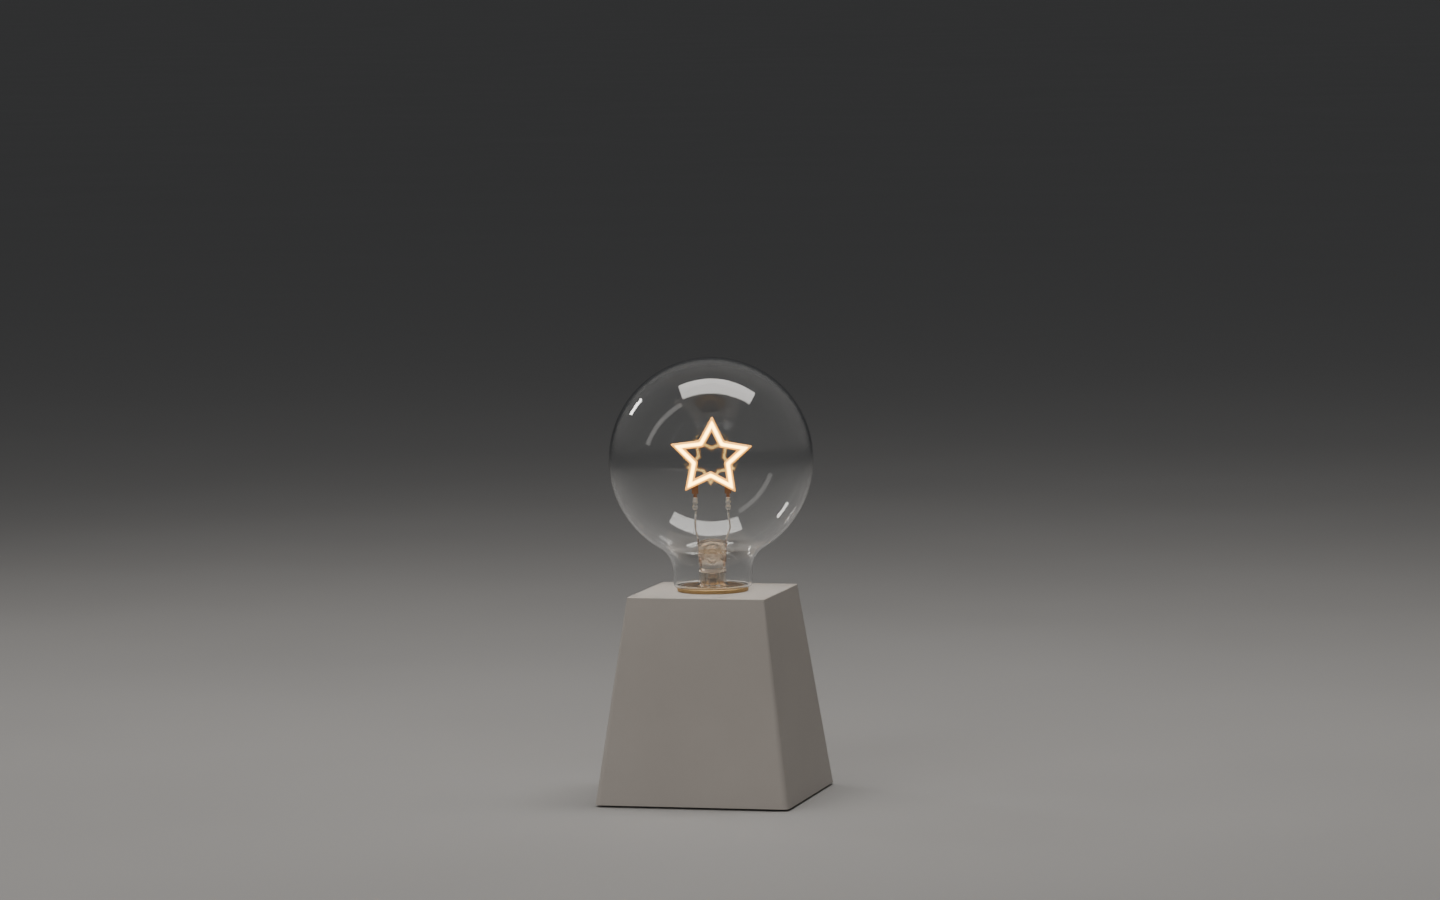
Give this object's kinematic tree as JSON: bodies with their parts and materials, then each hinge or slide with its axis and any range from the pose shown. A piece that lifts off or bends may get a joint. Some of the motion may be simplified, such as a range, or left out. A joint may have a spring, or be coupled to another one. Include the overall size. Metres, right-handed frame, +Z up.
{
  "type": "table lamp",
  "caption": "Cordless table lamp: a clear screw-in globe bulb with a star-shaped glowing filament, standing on a matt truncated pyramid base.",
  "frame": {"origin": "centre of the footprint, on the surface that the lamp stands on", "axes": "+Z up along the bulb's axis, -Y towards the base's front, +X to the viewer's right"},
  "size_m": [0.095, 0.095, 0.2046],
  "materials": {
    "base_paint": "matt greige coating",
    "black_plastic": "matt moulded black",
    "screw_steel": "zinc plated",
    "foot_rubber": "matt",
    "cell_wrap": "shrink wrap",
    "spring_steel": "nickel plated",
    "wire_cover": "flexible cover",
    "board_green": "solder resist",
    "white_plastic": "moulded",
    "chip_black": "moulded",
    "can_aluminium": "drawn can",
    "holder_plastic": "moulded",
    "contact_brass": "bare",
    "cap_glass": "black glass",
    "cap_nickel": "plated thread",
    "collar_brass": "satin",
    "resistor_body": "lacquer",
    "lead_metal": "nickel",
    "clear_glass": "clear blown",
    "substrate_amber": "amber",
    "phosphor_glow": "lit phosphor"
  },
  "bodies": {
    "base": {"base_shell": "base_paint", "bottom_plate": "black_plastic", "plate_screws": "screw_steel", "feet": "foot_rubber", "battery_tray": "black_plastic", "tray_screws": "screw_steel", "battery_1": "cell_wrap", "battery_2": "cell_wrap", "battery_3": "cell_wrap", "battery_springs": "spring_steel", "battery_contacts": "spring_steel", "battery_wires": "wire_cover", "circuit_board": "board_green", "board_screws": "screw_steel", "board_connectors": "white_plastic", "timer_chip": "chip_black", "capacitor": "can_aluminium", "resistors": "chip_black", "switch_body": "chip_black", "switch_pins": "spring_steel", "switch_wires": "wire_cover", "lampholder_body": "holder_plastic", "lampholder_sleeve": "spring_steel", "lampholder_contact": "contact_brass", "lampholder_terminals": "contact_brass", "lampholder_screws": "screw_steel", "holder_wires": "wire_cover"},
    "battery_door": {"battery_door": "black_plastic"},
    "switch_knob": {"switch_knob": "white_plastic"},
    "bulb_core": {"cap_insulator": "cap_glass", "cap_contact": "contact_brass"},
    "bulb": {"cap_collar": "collar_brass", "cap_shell": "cap_nickel", "cap_resistor": "resistor_body", "contact_wire": "lead_metal", "bulb_glass": "clear_glass", "stem_glass": "clear_glass", "exhaust_tube": "clear_glass", "lead_wires": "lead_metal", "lead_crimps": "lead_metal", "star_substrate": "substrate_amber", "star_filament": "phosphor_glow"}
  },
  "joints": [
    {"name": "door_hinge", "type": "hinge", "parent": "base", "child": "battery_door", "pos_m": [0, 0.0282, 0.0026], "axis": [1, 0, 0], "range_deg": [0, 95]},
    {"name": "switch_slide", "type": "slide", "parent": "base", "child": "switch_knob", "axis": [0, 1, 0], "range_m": [-0.002, 0.002]},
    {"name": "bulb_lift", "type": "slide", "parent": "base", "child": "bulb_core", "axis": [0, 0, 1], "range_m": [0, 0.01815]},
    {"name": "bulb_turn", "type": "hinge", "parent": "bulb_core", "child": "bulb", "pos_m": [0, 0, 0.0961], "axis": [0, 0, 1], "range_deg": [0, 1800]}
  ],
  "couplings": [
    {"joint": "bulb_lift", "follows": "bulb_turn", "m_per_rad": 0.00057757}
  ]
}
